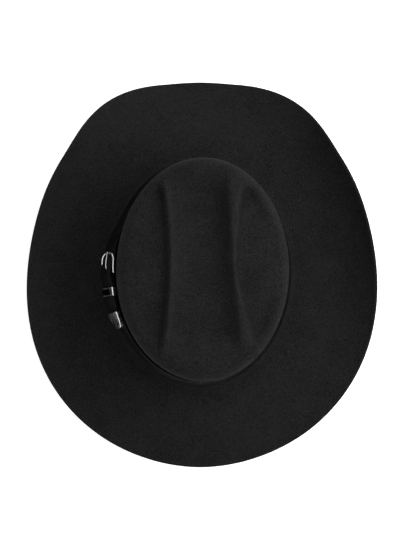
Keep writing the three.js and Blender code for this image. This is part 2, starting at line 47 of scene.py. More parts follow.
ORIGIN = np.array([1.6280, -0.0921, 27.2227])  # the brim root's centre in the row frame
FELT = 2.6
WALL_LONG, WALL_WIDE = 105.5, 83.0
SHOULDER_LONG, SHOULDER_WIDE = 105.0, 81.3
SHOULDER_HEIGHT, SHOULDER_RADIUS, ROOT_RADIUS = 79.0, 9.0, 14.0
DOME_HEIGHT, SIDE_FALL, END_FALL, DOME_POWER = 105.0, 20.0, 13.0, 2.5
CREASE_OFFSET, CREASE_DEPTH, BOW_LENGTH = 2.0, 16.0, 75.0
LEFT_RIDGE = {"spread": 29.0, "lean": 0.01, "bow": 5.0, "top": 0.6, "flare": 0.02}
RIGHT_RIDGE = {"spread": 29.8, "lean": 0.085, "bow": 1.5, "top": 1.6, "flare": 0.18}
PINCH_LENGTH = 12.0
DENT_FACE, DENT_DEPTH, DENT_FADE = 4.6, 9.5, 26.0
RIM_START, SOFTENING, STEEPEST = 0.8, 1.1, 2.2
EDGE_LENGTH, RING_CORNER = 83.0, math.radians(30)
INNER_RINGS = [(1, 81), (0.91, 78), (0.8, 74), (0.58, 67), (0.3, 58), (0, 50)]
CREASE_START, CREASE_FADE, DENT_START, DENT_END = (-98, -66), (52, 98), (-86, -68), (48, 90)
BRIM_WIDTH, BRIM_SHIFT, BRIM_STEPS = 80.5, 1.8, 50
FRONT_DIP, REAR_DIP, DIP_CHANGE, DIP_EASE = 24.0, 23.6, (60, 120), 0.3
SIDE_ROLL, ROLL_POWER = 66.5, 1.6
ROLL_RISE, ROLL_FALL = (2, 51.9), (69.2, 176.1)
STRAP_WIDTH, STRAP_THICKNESS, SKIVED = 14.0, 1.4, 0.9
SNUG = (math.radians(20), 5.6, 3.8)  # the strap's lean, foot reach and foot height round the hat
AT_BUCKLE = (math.radians(42), 11.4, 2.4)
FLARE_START, FLARE_END = (-60, -20), (28, 66)
STRAP_SCALE, FOLD_LENGTH, STRAP_END = 113.0, 7.0, 50.0
SKIVE_END, FOLD_FALL = (7, 11), (1, 11)  # where the strap thickens, and comes down from the bar
CLIMB, DESCENT, TIP_CLIMB = (-16, -2), (2, 12), 36.0  # the overlapping end over the bar and strap
LOOP = 2 * math.pi * STRAP_SCALE
GAP = 0.3
TACK_PATH = [(11.8, 2.05), (12.8, 2.1), (14.2, 1.9), (14.9, 1.3), (15, 0.5)]  # across, out
TACK_RADIUS, TACK_TWIST = 0.3, 0.05
EYE_SLOT = {"x": (-3, 4.5), "half": 1.8, "z": (-0.5, 4.05)}  # in the fold, for the prong's ring
PRONG_HOLE = {"x": (-8.5, 0.5), "half": 1.3, "z": (1.5, 6.5)}  # in the overlap, for its arm
BAR_HEIGHT, BAR_RADIUS, EYE_RADIUS = 1.95, 0.8, 1.05
FRAME_SPREAD, FRAME_STRAIGHT, FRAME_ROUND = 8.3, 12.0, 7.6
FRAME_RADIUS, FRAME_HEIGHT, FRAME_DROP = 0.95, 2.65, 0.2
PRONG_RADIUS, PRONG_RING, PRONG_WIDTH, PRONG_SOFT = 0.65, 1.75, 2.4, 0.25
PRONG_PATH = [(-0.9, 3.2), (-3, 3.95), (-6, 4.75), (-9, 4.95), (-14, 4.75), (-19.6, 4.6)]
KEEPER_START, KEEPER_LENGTH, KEEPER_WALL, KEEPER_BACK = 15.3, 8.5, 0.9, 0.6
TIP_START, TIP_STRAIGHT, TIP_POINT, TIP_WALL, TIP_HEIGHT = 41.0, 9.0, 8.5, 0.8, 3.5
SWEAT_OFFSET, SWEAT_THICKNESS, SWEAT_FOOT, SWEAT_TOP = -4.0, 1.1, 1.8, 50.0
SWEAT_CURVE = [(1.5, SWEAT_FOOT), (-1.9, 6), (-3.5, 10), (SWEAT_OFFSET, 15), (SWEAT_OFFSET, 32)]
REED_RADIUS, REED_OFFSET, REED_HEIGHT, TAPE_INNER, TAPE_OUTER = 0.8, 2.2, -0.2, 1.3, 1.6
LINING_OFFSET, LINING_THICKNESS, LINING_FOOT, LINING_TOP = -2.95, 0.4, 32.0, 73.0
TIP_SAG, SHIELD_WIDE, SHIELD_LONG, SHIELD_THICKNESS = 2.0, 34.0, 52.0, 0.3
BOW_HEIGHT = 20.0
SEGMENTS = 480  # round the hat


def smooth(x, low, high):
    t = np.clip((np.asarray(x, float) - low) / (high - low), 0, 1)
    return t * t * (3 - 2 * t)


def mix(a, b, t):
    return a + (b - a) * t


# ---- The felt's shape -----------------------------------------------------------------------


def wall(turn, offset, height):
    """A point at an outward offset from the crown wall. Turn 0 is the front, a quarter turn the left."""
    turn, offset, height = np.broadcast_arrays(*(np.asarray(v, float) for v in (turn, offset, height)))
    rise = np.clip((height - ROOT_RADIUS) / (SHOULDER_HEIGHT - ROOT_RADIUS), 0, 1)
    a, b = mix(WALL_LONG, SHOULDER_LONG, rise), mix(WALL_WIDE, SHOULDER_WIDE, rise)
    out = np.stack([np.sin(turn) / b, -np.cos(turn) / a], -1)
    out /= np.linalg.norm(out, axis=-1, keepdims=True)
    x = b * np.sin(turn) + offset * out[..., 0]
    y = -a * np.cos(turn) + offset * out[..., 1]
    return np.stack([x, y, height + 0 * x], -1)


def ridge_lines(x, y):
    """How far the ridge on x's side stands from the crease's middle: its inner and its outer edge."""
    on_left = x > CREASE_OFFSET
    spread, lean, bow, top, flare = (np.where(on_left, LEFT_RIDGE[k], RIGHT_RIDGE[k]) for k in LEFT_RIDGE)
    inner = spread + lean * y + bow * (y / BOW_LENGTH) ** 2
    return inner, inner + top + flare * (np.hypot(y, PINCH_LENGTH) - PINCH_LENGTH)


def creased_top(x, y):
    across = np.abs(x - CREASE_OFFSET)
    ridge, edge_line = ridge_lines(x, y)
    past = across - edge_line
    crease_share = smooth(y, *CREASE_START) * (1 - smooth(y, *CREASE_FADE))
    edge = np.hypot(x / SHOULDER_WIDE, y / SHOULDER_LONG)
    dent_share = smooth(y, *DENT_START) * (1 - smooth(y, *DENT_END)) * (1 - smooth(edge, RIM_START, 1))
    side = (x / SHOULDER_WIDE / np.maximum(edge, 1e-9)) ** 2
    dome = DOME_HEIGHT - mix(END_FALL, SIDE_FALL, side) * edge**DOME_POWER
    crease = dome - CREASE_DEPTH * crease_share * (1 - (across / ridge) ** 3)
    in_dent = np.sin(math.pi / 2 * np.clip(past / DENT_FACE, 0, 1))
    fade = np.exp(-((np.maximum(past - DENT_FACE, 0) / DENT_FADE) ** 2))
    return np.where(across < ridge, crease, dome - DENT_DEPTH * dent_share * in_dent * fade)


def crown_top(x, y):
    return sum(creased_top(x + k * SOFTENING, y) for k in (-2, -1, 0, 1, 2)) / 5


def steepness(x, y):
    slope_x = (crown_top(x + 1, y) - crown_top(x - 1, y)) / 2
    slope_y = (crown_top(x, y + 1) - crown_top(x, y - 1)) / 2
    return np.minimum(np.sqrt(1 + slope_x**2 + slope_y**2), STEEPEST)


def brim_slope(turn, share):
    side = np.abs((np.degrees(turn) + 180) % 360 - 180)
    roll = smooth(side, *ROLL_RISE) * (1 - smooth(side, *ROLL_FALL))
    dip = mix(FRONT_DIP, REAR_DIP, smooth(side, *DIP_CHANGE)) * smooth(share, 0, DIP_EASE)
    return np.radians(roll * SIDE_ROLL * share**ROLL_POWER - (1 - roll) * dip)


def brim_lines(turn):
    """Reach, height and slope of the brim's upper face, each (turns, steps + 1)."""
    turn = np.asarray(turn, float)[:, None]
    step = (BRIM_WIDTH - BRIM_SHIFT * np.sin(turn)) / BRIM_STEPS
    middle = brim_slope(turn, (np.arange(BRIM_STEPS)[None] + 0.5) / BRIM_STEPS)
    zero = np.zeros_like(turn)
    reach = ROOT_RADIUS + np.hstack([zero, np.cumsum(step * np.cos(middle), 1)])
    height = np.hstack([zero, np.cumsum(step * np.sin(middle), 1)])
    return reach, height, brim_slope(turn, np.arange(BRIM_STEPS + 1)[None] / BRIM_STEPS)


CREST = {"middle": -4.0, "width": 3.5, "tone": 0.14}  # painted highlight: lighter along the ridges' inner sides
DENT = {"middle": 2.5, "width": 2.5, "tone": -0.2}  # painted shade: darker down the dents' steep faces


def ridge_painted_light(x, y):
    """How much painted highlight lightens, or painted shade darkens, the felt's colour beside a ridge."""
    past = np.abs(x - CREASE_OFFSET) - ridge_lines(x, y)[1]
    share = smooth(y, *DENT_START) * (1 - smooth(y, *DENT_END))
    return share * sum(b["tone"] * np.exp(-(((past - b["middle"]) / b["width"]) ** 2)) for b in (CREST, DENT))


FLOOR = -ORIGIN[2]
EDGE_ROUND = 0.7  # how far the cut edge bulges past the brim's two faces
EDGE_START = 0.94  # the share of the brim's width where the faces begin to draw back for it
RIM_ROWS, RIM_CROWDING = 40, 1.6
CREASE_ROWS, CREASE_CROWDING = 34, 1.3
FILLET_STEPS, WALL_ROWS = 17, 26
FLOOR_SOFTENING = 0.3  # how gradually the brim meets the floor where it rests


def soft_max(a, b, width):
    return (a + b + np.sqrt((a - b) ** 2 + width**2)) / 2


def top_points(turn):
    """The crown top's x and y, each (turns, rings), from the rim in to the crease's middle line."""
    turn = turn[:, None]
    across = np.clip(np.sin(turn) / math.sin(RING_CORNER), -1, 1)
    along = np.clip(np.cos(turn) / math.cos(RING_CORNER), -1, 1)
    rim_x = (SHOULDER_WIDE - SHOULDER_RADIUS) * np.sin(turn)
    rim_y = -(SHOULDER_LONG - SHOULDER_RADIUS) * np.cos(turn)
    edge_y = -EDGE_LENGTH * along
    edge_x = CREASE_OFFSET + across * ridge_lines(CREASE_OFFSET + across, edge_y)[1]
    share = np.linspace(1, 0, RIM_ROWS)[None, 1:] ** RIM_CROWDING
    spread, length = zip(*INNER_RINGS[::-1])
    spreads = 1 - np.linspace(0, 1, CREASE_ROWS)[None] ** CREASE_CROWDING
    inner_y = -np.interp(spreads, spread, length) * along
    inner_x = CREASE_OFFSET + across * spreads * ridge_lines(CREASE_OFFSET + across, inner_y)[0]
    flat = np.array([0.25, 0.5, 0.75])[None]
    x = np.hstack([mix(edge_x, rim_x, share), mix(edge_x, inner_x[:, :1], flat), inner_x])
    y = np.hstack([mix(edge_y, rim_y, share), mix(edge_y, inner_y[:, :1], flat), inner_y])
    return x, y


def felt_face(turn, depth):
    """One face of the felt, (turns, points, 3), from the brim's edge to the crown's middle."""
    reach, height, slope = brim_lines(turn)
    outward = np.arange(BRIM_STEPS, 0, -1)
    reach, height, slope = reach[:, outward], height[:, outward], slope[:, outward]
    share = outward[None] / BRIM_STEPS
    pull = EDGE_ROUND * smooth(share, EDGE_START, 1)
    reach, height = reach - pull * np.cos(slope), height - pull * np.sin(slope)
    column = turn[:, None]
    brim = wall(column, reach + depth * np.sin(slope), 0)
    low = FLOOR if depth else FLOOR + FELT
    brim[..., 2] = soft_max(height - depth * np.cos(slope), low + 0 * height, FLOOR_SOFTENING)
    angle = np.radians(np.linspace(0, 90, FILLET_STEPS))[None]
    radius = ROOT_RADIUS + depth
    root = wall(column, ROOT_RADIUS - radius * np.sin(angle), 0)
    root[..., 2] = ROOT_RADIUS - radius * np.cos(angle)
    inner = SHOULDER_RADIUS - depth
    shoulder = wall(column, inner * np.cos(angle) - SHOULDER_RADIUS, SHOULDER_HEIGHT)
    x, y = shoulder[..., 0], shoulder[..., 1]
    sink = SHOULDER_RADIUS - inner * np.sin(angle)
    shoulder[..., 2] = crown_top(x, y) - sink - depth * (steepness(x, y) - 1)
    up = np.linspace(0, 1, WALL_ROWS)[None, 1:-1]
    side = wall(column, -depth, mix(ROOT_RADIUS, shoulder[:, :1, 2], up))
    x, y = top_points(turn)
    top = np.stack([x, y, crown_top(x, y) - depth * steepness(x, y)], -1)
    return np.concatenate([brim, root, side, shoulder, top], 1)


def wander(p, length, seed):
    """A smooth wandering value from -1 to 1 at each point, about `length` from crest to crest."""
    rng = np.random.default_rng(seed)
    total = np.zeros(p.shape[:-1])
    for _ in range(9):
        way = rng.normal(size=3)
        way /= np.linalg.norm(way)
        total += np.sin(p @ way * (2 * math.pi / length * rng.uniform(0.7, 1.4)) + rng.uniform(0, 6.3))
    return total / 5


# ---- Meshes ---------------------------------------------------------------------------------

made = {}


def piece(name, points, faces, uv=None, sharp=None):
    """A mesh object from points in millimetres about the brim root's centre."""
    mesh = bpy.data.meshes.new(name)
    mesh.from_pydata(((np.asarray(points) + ORIGIN) / 1000).tolist(), [], faces)
    if uv is not None:
        layer = mesh.uv_layers.new(name="cloth")
        layer.data.foreach_set("uv", (np.asarray(uv, float) / 1000).ravel())
    obj = bpy.data.objects.new(name, mesh)
    bpy.context.scene.collection.objects.link(obj)
    weld(obj)
    shade(obj, sharp)
    made[name] = obj
    return obj


def weld(obj, distance=2e-6):
    bm = bmesh.new()
    bm.from_mesh(obj.data)
    bmesh.ops.remove_doubles(bm, verts=bm.verts, dist=distance)
    bmesh.ops.dissolve_degenerate(bm, edges=bm.edges, dist=1e-7)
    bmesh.ops.recalc_face_normals(bm, faces=bm.faces)
    bm.to_mesh(obj.data)
    bm.free()


def shade(obj, sharp=None):
    obj.data.shade_smooth()
    if sharp:
        obj.data.set_sharp_from_angle(angle=math.radians(sharp))


def grid(points, wrap_u=False, wrap_v=False, uv=None, caps=False):
    """Points, faces and corner UVs of a (rows, columns, 3) grid of points."""
    rows, cols = points.shape[:2]
    i, j = np.meshgrid(
        np.arange(rows if wrap_u else rows - 1), np.arange(cols if wrap_v else cols - 1), indexing="ij"
    )
    i, j = i.ravel(), j.ravel()
    ring = [(i, j), (i + 1, j), (i + 1, j + 1), (i, j + 1)]
    quads = np.stack([(a % rows) * cols + b % cols for a, b in ring], -1)
    faces = quads.tolist()
    corners = None if uv is None else np.stack([uv[a, b] for a, b in ring], 1).reshape(-1, 2)
    if caps:
        ends = [list(range(cols))[::-1], [(rows - 1) * cols + k for k in range(cols)]]
        faces += ends
        if uv is not None:
            corners = np.vstack([corners, uv[0, :cols][::-1], uv[rows - 1, :cols]])
    return points.reshape(-1, 3), faces, corners


def ring_piece(name, outline, ripple=None, sharp=None):
    """A ring of constant outline beside the crown wall. The outline is closed: (offset, height) pairs."""
    outline = np.asarray(outline, float)
    turn = np.linspace(0, 2 * math.pi, SEGMENTS, endpoint=False)[:, None]
    offset, height = outline[None, :, 0] + 0 * turn, outline[None, :, 1] + 0 * turn
    if ripple is not None:
        offset, height = ripple(turn, offset, height)
    points = wall(turn, offset, height)
    closed = np.vstack([outline, outline[:1]])
    across = np.concatenate([[0], np.cumsum(np.linalg.norm(np.diff(closed, axis=0), axis=1))])
    along = np.linspace(0, 2 * math.pi * 94, SEGMENTS + 1)
    uv = np.stack(np.meshgrid(along, across, indexing="ij"), -1)
    return piece(name, *grid(points, True, True, uv), sharp=sharp)


def spline(points, count):
    """A centripetal Catmull-Rom curve through the points, at evenly spaced lengths."""
    p = np.asarray(points, float)
    p = np.vstack([2 * p[0] - p[1], p, 2 * p[-1] - p[-2]])
    out = []
    for k in range(1, len(p) - 2):
        knots = np.cumsum([0, *(np.linalg.norm(np.diff(p[k - 1 : k + 3], axis=0), axis=1) ** 0.5)])
        t = np.linspace(knots[1], knots[2], 24, endpoint=False)[:, None]

        def blend(a, b, ta, tb):
            return (tb - t) / (tb - ta) * a + (t - ta) / (tb - ta) * b

        a = [blend(p[k - 1 + m], p[k + m], knots[m], knots[m + 1]) for m in range(3)]
        b = [blend(a[m], a[m + 1], knots[m], knots[m + 2]) for m in range(2)]
        out.append(blend(b[0], b[1], knots[1], knots[2]))
    out = np.vstack([*out, p[-2:-1]])
    length = np.concatenate([[0], np.cumsum(np.linalg.norm(np.diff(out, axis=0), axis=1))])
    at = np.linspace(0, length[-1], count)
    return np.stack([np.interp(at, length, out[:, k]) for k in range(out.shape[1])], -1)


def swept(path, radius, sides=20, up=(0, 0, 1)):
    """A round bar with domed ends along a path, with a radius for each point: (stations, sides, 3)."""
    path, radius = np.asarray(path, float), np.broadcast_to(radius, len(path)).astype(float)
    along = np.gradient(path, axis=0)
    along /= np.linalg.norm(along, axis=1, keepdims=True)
    side = np.cross(np.asarray(up, float)[None], along)
    side /= np.linalg.norm(side, axis=1, keepdims=True)
    top = np.cross(along, side)
    cap = np.radians([90, 75, 55, 35, 15])
    first = path[0] - along[0] * radius[0] * np.sin(cap)[:, None]
    last = path[-1] + along[-1] * radius[-1] * np.sin(cap[::-1])[:, None]
    path = np.vstack([first, path, last])
    radius = np.concatenate([radius[0] * np.cos(cap), radius, radius[-1] * np.cos(cap[::-1])])
    radius = np.maximum(radius, 1e-3)
    side, top = (np.pad(v, ((len(cap), len(cap)), (0, 0)), mode="edge") for v in (side, top))
    angle = np.linspace(0, 2 * math.pi, sides, endpoint=False)[None, :, None]
    ring = np.cos(angle) * side[:, None] + np.sin(angle) * top[:, None]
    return path[:, None] + radius[:, None, None] * ring


def boolean(obj, cutter, operation):
    """Joins the cutter to the object, or cuts it away, and removes the cutter."""
    change = obj.modifiers.new("change", "BOOLEAN")
    change.object, change.operation, change.solver = cutter, operation, "EXACT"
    bpy.context.view_layer.update()
    done = bpy.data.meshes.new_from_object(obj.evaluated_get(bpy.context.evaluated_depsgraph_get()))
    obj.modifiers.clear()
    obj.data = done
    made.pop(cutter.name)
    bpy.data.objects.remove(cutter)


# ---- The strap's own coordinates ------------------------------------------------------------


def on_strap(p):
    """x along the strap, y across it from its foot, z outwards, laid on the hat."""
    x, y, z = p[..., 0], p[..., 1], p[..., 2]
    around = (x + LOOP / 2) % LOOP - LOOP / 2
    near = smooth(around, *FLARE_START) * (1 - smooth(around, *FLARE_END))
    lean, reach, foot = (mix(snug, buckle, near) for snug, buckle in zip(SNUG, AT_BUCKLE))
    placed = wall(math.pi / 2 + x / STRAP_SCALE, reach - y * np.sin(lean) + z * np.cos(lean), 0)
    placed[..., 2] = foot + y * np.cos(lean) + z * np.sin(lean)
    return placed


FACE_SPACING = 40.0  # between the strap's faces in its UV map


def rounded_section(radius, steps=5):
    """A rounded rectangle on (0..1, 0..1), with corner radii given as (thickness share, width share)."""
    points = []
    for cx, cy, start in ((1, 1, 0), (0, 1, 90), (0, 0, 180), (1, 0, 270)):
        for angle in np.radians(np.linspace(start, start + 90, steps)):
            middle = np.array([abs(cx - radius[0]), abs(cy - radius[1])])
            points.append(middle + np.array(radius) * [math.cos(angle), math.sin(angle)])
    return np.array(points)


def flat_bar(stations, section, crown=0.0):
    """A flat bar along the strap: stations are rows of (x, z, thick, low, high), z at the middle."""
    s = np.asarray(stations, float)
    along = np.gradient(s[:, :2], axis=0)
    along /= np.linalg.norm(along, axis=1, keepdims=True)
    out = (section[None, :, 0] - 0.5) * s[:, 2:3]
    across = section[None, :, 1]
    out = out + crown * (1 - (2 * across - 1) ** 2) * section[None, :, 0]
    x = s[:, 0:1] - along[:, 1:2] * out
    z = s[:, 1:2] + along[:, 0:1] * out
    y = mix(s[:, 3:4], s[:, 4:5], across)
    return np.stack([x, y, z], -1)


def strap_uv(stations, section):
    """Lengths along and across the strap; the two faces lie side by side."""
    s = np.asarray(stations, float)
    along = np.concatenate([[0], np.cumsum(np.linalg.norm(np.diff(s[:, :2], axis=0), axis=1))])
    closed = np.vstack([section, section[:1]])
    across = closed[:, 1] * STRAP_WIDTH + closed[:, 0] * FACE_SPACING
    return np.stack(np.meshgrid(along, across, indexing="ij"), -1)


def strap_block(name, slot):
    """A square-cornered cutter through the middle of the strap."""
    middle = STRAP_WIDTH / 2
    widths = (middle - slot["half"], middle + slot["half"])
    corners = np.array([[x, y, z] for x in slot["x"] for y in widths for z in slot["z"]], float)
    faces = [[0, 1, 3, 2], [4, 6, 7, 5], [0, 4, 5, 1], [2, 3, 7, 6], [0, 2, 6, 4], [1, 5, 7, 3]]
    return piece(name, on_strap(corners), faces)


# ---- Materials ------------------------------------------------------------------------------


class Surface:
    """A Principled material with short calls to add procedural detail. Coordinates are in metres."""

    def __init__(self, name, colour, roughness, **inputs):
        self.material = bpy.data.materials.new(name)
        self.material.use_nodes = True
        self.tree = self.material.node_tree
        self.shader = self.tree.nodes["Principled BSDF"]
        self.shader.inputs["Base Color"].default_value = (*colour, 1)
        self.shader.inputs["Roughness"].default_value = roughness
        for key, value in inputs.items():
            socket = self.shader.inputs[key.replace("_", " ")]
            socket.default_value = (*value, 1) if isinstance(value, tuple) and len(value) == 3 else value
        self.place = self.node("ShaderNodeTexCoord").outputs["Object"]
        self.cloth = self.node("ShaderNodeUVMap", uv_map="cloth").outputs["UV"]
        self.last_bump = None

    def node(self, kind, inputs=(), **settings):
        made_node = self.tree.nodes.new(kind)
        for key, value in settings.items():
            setattr(made_node, key, value)
        for key, value in dict(inputs).items():
            socket = made_node.inputs[key]
            if isinstance(value, bpy.types.NodeSocket):
                self.tree.links.new(value, socket)
            else:
                socket.default_value = value
        return made_node

    def noise(self, scale, detail=3.0, rough=0.6, at=None, stretch=None):
        at = at or self.place
        if stretch:
            at = self.node("ShaderNodeMapping", {"Vector": at, "Scale": stretch}).outputs[0]
        inputs = {"Vector": at, "Scale": scale, "Detail": detail, "Roughness": rough}
        return self.node("ShaderNodeTexNoise", inputs).outputs["Fac"]

    def cells(self, scale):
        inputs = {"Vector": self.place, "Scale": scale}
        return self.node("ShaderNodeTexVoronoi", inputs, feature="DISTANCE_TO_EDGE").outputs["Distance"]

    def ramp(self, value, low, high, out_low=0.0, out_high=1.0):
        inputs = {"Value": value, "From Min": low, "From Max": high, "To Min": out_low, "To Max": out_high}
        return self.node("ShaderNodeMapRange", inputs).outputs[0]

    def math(self, operation, a, b=0.0):
        return self.node("ShaderNodeMath", {0: a, 1: b}, operation=operation).outputs[0]

    def blend(self, share, low, high):
        inputs = {0: share, 6: (*low, 1), 7: (*high, 1)}
        return self.node("ShaderNodeMix", inputs, data_type="RGBA").outputs[2]

    def colour(self, socket):
        self.tree.links.new(socket, self.shader.inputs["Base Color"])

    def rough(self, socket):
        self.tree.links.new(socket, self.shader.inputs["Roughness"])

    def bump(self, height, distance, strength=1.0):
        inputs = {"Height": height, "Distance": distance, "Strength": strength}
        if self.last_bump:
            inputs["Normal"] = self.last_bump
        self.last_bump = self.node("ShaderNodeBump", inputs).outputs[0]
        self.tree.links.new(self.last_bump, self.shader.inputs["Normal"])


def felt_surface():
    s = Surface("black_fur_felt", (0.0062, 0.0061, 0.0065), 0.92, Specular_IOR_Level=0.12)
    nap = s.noise(800.0, 2.0, 0.8)
    patch = s.noise(45.0, 4.0, 0.65)
    tone = s.math("ADD", s.math("MULTIPLY", nap, 0.85), s.math("MULTIPLY", patch, 0.15))
    # painted highlight and painted shade beside the ridges, read from the mesh, added to the felt's colour
    painted_ridge_light = s.node("ShaderNodeAttribute", attribute_name="painted_ridge_light").outputs["Fac"]
    shade_of_black = s.math("ADD", s.ramp(tone, 0.36, 0.64), painted_ridge_light)
    s.colour(s.blend(shade_of_black, (0.0003, 0.0003, 0.0004), (0.0138, 0.0130, 0.0140)))
    s.bump(s.noise(420.0, 4.0, 0.65), 0.0005, 0.7)
    s.bump(nap, 0.0003, 0.8)
    return s.material


def leather_surface():
    s = Surface("black_leather", (0.005, 0.005, 0.0052), 0.45, Specular_IOR_Level=0.14)
    pores = s.cells(1500.0)
    worn = s.noise(90.0, 4.0)
    s.colour(s.blend(s.ramp(worn, 0.35, 0.75), (0.002, 0.002, 0.0022), (0.006, 0.0057, 0.0056)))
    s.rough(s.ramp(worn, 0.3, 0.7, 0.36, 0.52))
    s.bump(s.ramp(pores, 0.0, 0.25), 0.00008, 0.5)
    s.bump(s.noise(350.0, 3.0), 0.00012, 0.4)
    return s.material


def silver_surface(name, bright, dull):
    s = Surface(name, bright, 0.26, Metallic=1.0)
    cloud = s.noise(260.0, 4.0)
    scuff = s.noise(700.0, 3.0, 0.7, stretch=(1.0, 6.0, 1.0))
    s.colour(s.blend(s.ramp(cloud, 0.35, 0.75), bright, dull))
    s.rough(s.ramp(s.math("ADD", cloud, s.math("MULTIPLY", scuff, 0.5)), 0.5, 1.0, 0.2, 0.32))
    s.bump(scuff, 0.00003, 0.5)
    return s.material


def sweat_surface():
    s = Surface("brown_sweat_leather", (0.045, 0.024, 0.014), 0.5, Specular_IOR_Level=0.4)
    worn = s.noise(55.0, 4.0)
    s.colour(s.blend(s.ramp(worn, 0.3, 0.7), (0.034, 0.018, 0.011), (0.062, 0.034, 0.02)))
    s.rough(s.ramp(worn, 0.3, 0.7, 0.42, 0.6))
    s.bump(s.ramp(s.cells(1100.0), 0.0, 0.3), 0.0001, 0.6)
    s.bump(s.noise(200.0, 3.0), 0.00025, 0.4)
    return s.material


def woven_surface(name, dark, light, roughness, pitch, depth, sheen=0.0, rib=1.0):
    """Cloth with threads `pitch` metres apart along both UV directions; rib weighs the cross threads."""
    s = Surface(name, dark, roughness, Sheen_Weight=sheen)
    x, y, _ = s.node("ShaderNodeSeparateXYZ", {0: s.cloth}).outputs
    turn = 2 * math.pi / pitch
    warp = s.math("SINE", s.math("MULTIPLY", x, turn))
    weft = s.math("SINE", s.math("MULTIPLY", y, turn * 0.6))
    threads = s.math("ADD", warp, s.math("MULTIPLY", weft, 1.0 - 0.8 * rib))
    uneven = s.noise(400.0, 3.0)
    s.colour(s.blend(s.ramp(s.math("ADD", threads, uneven), -1.0, 2.0), dark, light))
    s.bump(threads, depth, 0.7)
    s.bump(uneven, depth, 0.4)
    return s.material


def plastic_surface():
    s = Surface("reed_plastic", (0.70, 0.72, 0.74), 0.35, Specular_IOR_Level=0.5, Subsurface_Weight=0.1)
    drawn = s.noise(300.0, 3.0, at=s.cloth, stretch=(0.1, 1.0, 1.0))
    s.colour(s.blend(drawn, (0.62, 0.64, 0.65), (0.78, 0.79, 0.80)))
    s.bump(drawn, 0.00005, 0.5)
    return s.material


def vinyl_surface():
    s = Surface("clear_vinyl", (0.9, 0.92, 0.94), 0.08, IOR=1.5, Transmission_Weight=0.9, Alpha=0.45)
    s.bump(s.noise(40.0, 2.0), 0.0004, 0.5)
    s.rough(s.ramp(s.noise(150.0, 3.0), 0.3, 0.8, 0.05, 0.16))
    return s.material


def thread_surface():
    s = Surface("black_thread", (0.008, 0.008, 0.009), 0.6, Sheen_Weight=0.2)
    twist = s.noise(2200.0, 2.0)
    s.colour(s.blend(twist, (0.006, 0.006, 0.007), (0.02, 0.02, 0.021)))
    s.bump(twist, 0.00006, 0.6)
    return s.material


FELT_LOOK, LEATHER_LOOK = felt_surface(), leather_surface()
SILVER_LOOK = silver_surface("silver_plate", (0.95, 0.94, 0.92), (0.82, 0.805, 0.78))
DARK_SILVER_LOOK = silver_surface("darkened_silver", (0.03, 0.03, 0.032), (0.012, 0.012, 0.013))
SWEAT_LOOK, PLASTIC_LOOK = sweat_surface(), plastic_surface()
VINYL_LOOK, THREAD_LOOK = vinyl_surface(), thread_surface()
RIBBON_LOOK = woven_surface(
    "black_grosgrain", (0.008, 0.008, 0.009), (0.022, 0.022, 0.024), 0.55, pitch=0.0011, depth=0.00016
)
SATIN_LOOK = woven_surface(
    "black_satin", (0.012, 0.012, 0.014), (0.024, 0.024, 0.028), 0.3, pitch=0.0006, depth=0.00004,
    sheen=0.3, rib=0.4,
)


def finish_piece(name, look, slot, body, *nodes):
    obj = made[name]
    obj.data.materials.clear()
    obj.data.materials.append(look)
    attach(obj, body)
    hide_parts(*nodes)


# ---- Felt body ------------------------------------------------------------------------------


UNEVEN = [(60, 3, 0.35), (24, 5, 0.12)]  # the felt's waver: crest to crest, seed, rise
EDGE_SQUARENESS = 2.4
BRIM_TOP, BRIM_ROOT = 26.0, 25.0  # all felt under this height and beyond this reach is brim
CROWN_FREE, CROWN_SHARE = (40, 62), 0.7  # the crown wavers only above the band, and less
FLOOR_FREE = (FLOOR + 3, FLOOR + 12)  # the brim doesn't waver where it rests


def build_felt():
    turn = np.linspace(0, 2 * math.pi, SEGMENTS, endpoint=False)
    upper, lower = felt_face(turn, 0), felt_face(turn, FELT)
    share = np.linspace(0, 1, 9)[1:-1][None, :, None]
    edge = mix(upper[:, :1], lower[:, :1], share)
    way = upper[:, 0] - upper[:, 1]
    way /= np.linalg.norm(way, axis=1, keepdims=True)
    bulge = EDGE_ROUND * np.sqrt(np.maximum(1 - np.abs(2 * share - 1) ** EDGE_SQUARENESS, 0))
    edge = edge + way[:, None] * bulge
    loop = np.concatenate([upper[:, ::-1], edge, lower], 1)
    shift = sum(rise * wander(loop, length, seed) for length, seed, rise in UNEVEN)
    height = loop[..., 2]
    on_brim = height < BRIM_TOP
    reach = np.hypot(loop[..., 0] / (WALL_WIDE + BRIM_ROOT), loop[..., 1] / (WALL_LONG + BRIM_ROOT))
    free = np.where(on_brim, smooth(reach, 1.0, 1.25), smooth(height, *CROWN_FREE))
    free = free * smooth(height, *FLOOR_FREE)
    loop[..., 2] += shift * free * np.where(on_brim, 1.0, CROWN_SHARE)
    points, faces, _ = grid(loop, True, False)
    felt = piece("felt_hat", points, faces)
    place = np.array([v.co for v in felt.data.vertices]) * 1000 - ORIGIN
    # painted highlight and painted shade along the crown top's ridges, stored on the mesh for the felt's
    # colour
    painted_ridge_light = np.where(place[:, 2] > SHOULDER_HEIGHT, ridge_painted_light(place[:, 0], place[:, 1]), 0.0)
    felt.data.attributes.new("painted_ridge_light", "FLOAT", "POINT").data.foreach_set("value", painted_ridge_light)


build_felt()
finish_piece("felt_hat", FELT_LOOK, "black_felt", "hat", "felt_body")


# ---- Hat band -------------------------------------------------------------------------------


def billet_height(x):
    flat = STRAP_THICKNESS / 2
    over_bar = BAR_HEIGHT + EYE_RADIUS + SKIVED + GAP + flat
    over_strap = STRAP_THICKNESS + GAP + flat
    up = mix(flat, over_bar, smooth(x, *CLIMB))
    down = mix(over_bar, over_strap, smooth(x, *DESCENT))
    to_tip = mix(over_strap, TIP_HEIGHT, smooth(x, TIP_CLIMB, TIP_START))
    return np.where(x < 0, up, np.where(x < TIP_CLIMB, down, to_tip))


